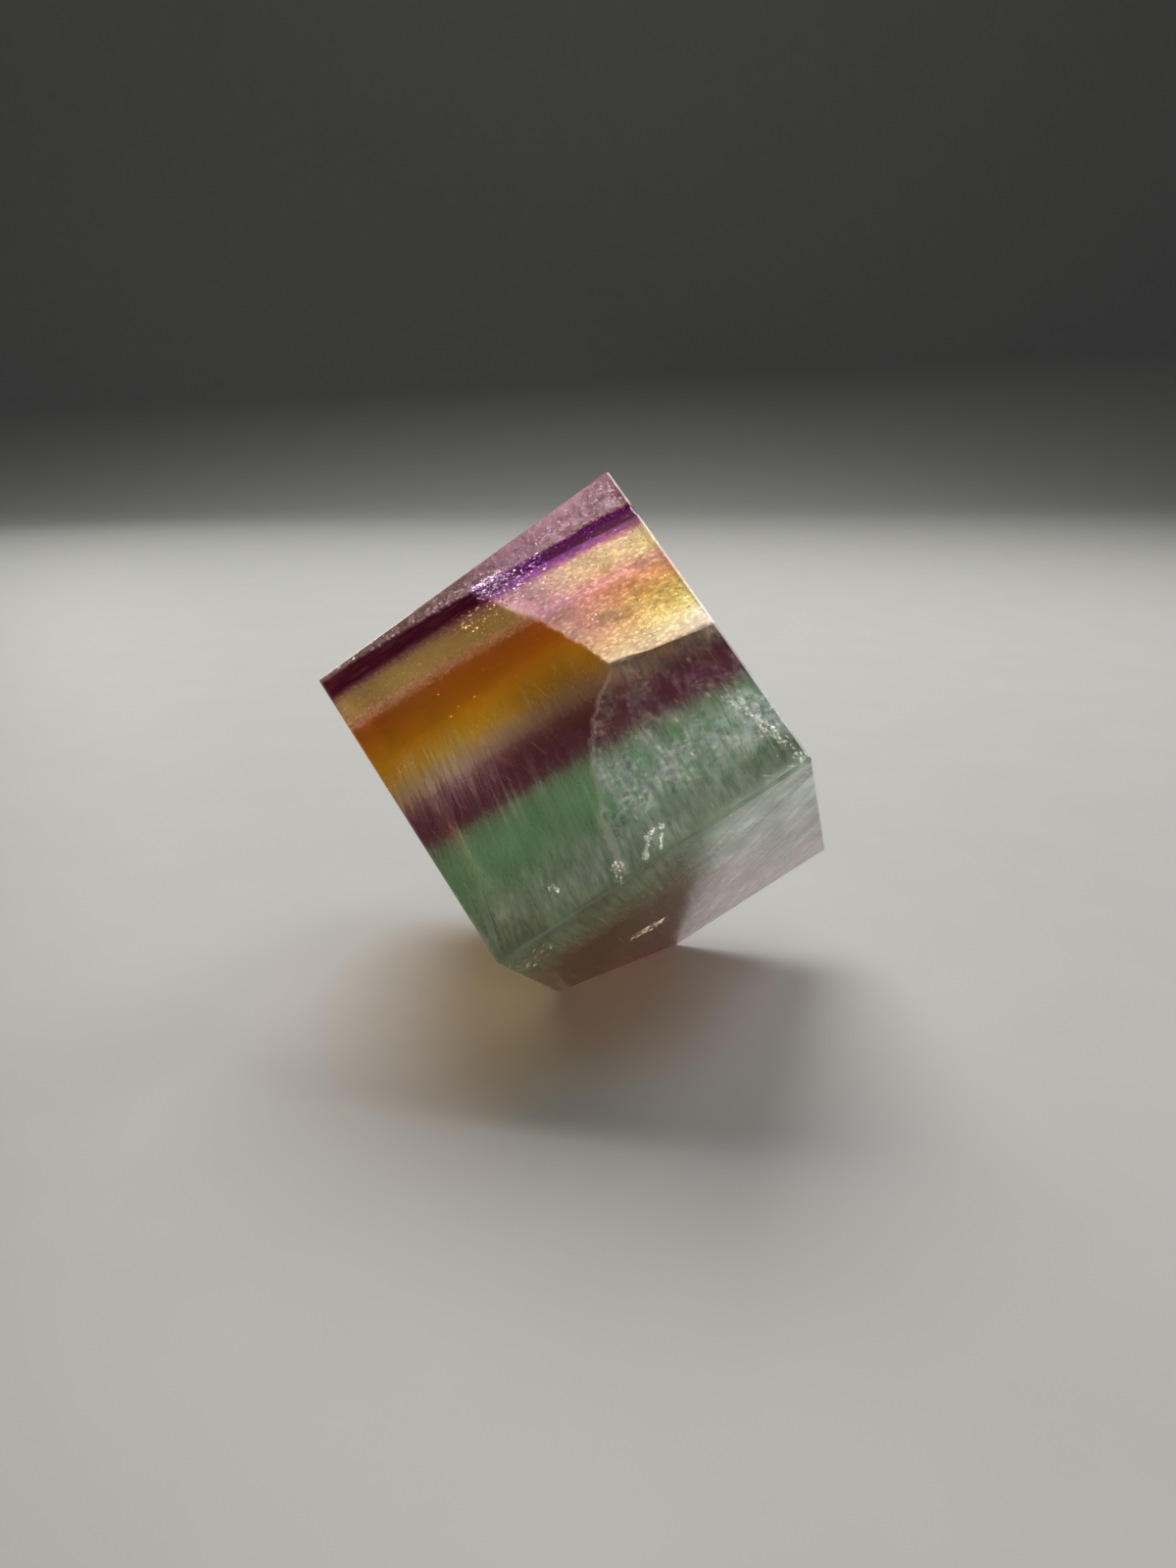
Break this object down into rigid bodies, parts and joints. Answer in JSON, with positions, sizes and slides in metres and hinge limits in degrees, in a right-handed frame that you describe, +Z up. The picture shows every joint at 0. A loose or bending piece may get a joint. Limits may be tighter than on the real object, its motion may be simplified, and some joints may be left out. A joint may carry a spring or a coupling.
{
  "type": "fluorite cube",
  "caption": "Polished cube of clear banded fluorite, standing on one corner that is ground flat, with an inner fracture and small edge chips.",
  "frame": {"origin": "middle of the flat ground on one corner, which the cube rests on", "axes": "+Z up, away from the resting flat; +Y away from the face that shows the bands best; +X to its right"},
  "size_m": [0.0627, 0.0609, 0.062],
  "materials": {
    "fluorite": "polished clear crystal with purple, amber, maroon and green growth bands and inner veils"
  },
  "bodies": {
    "root": {"fluorite_cube": "fluorite"}
  },
  "joints": []
}
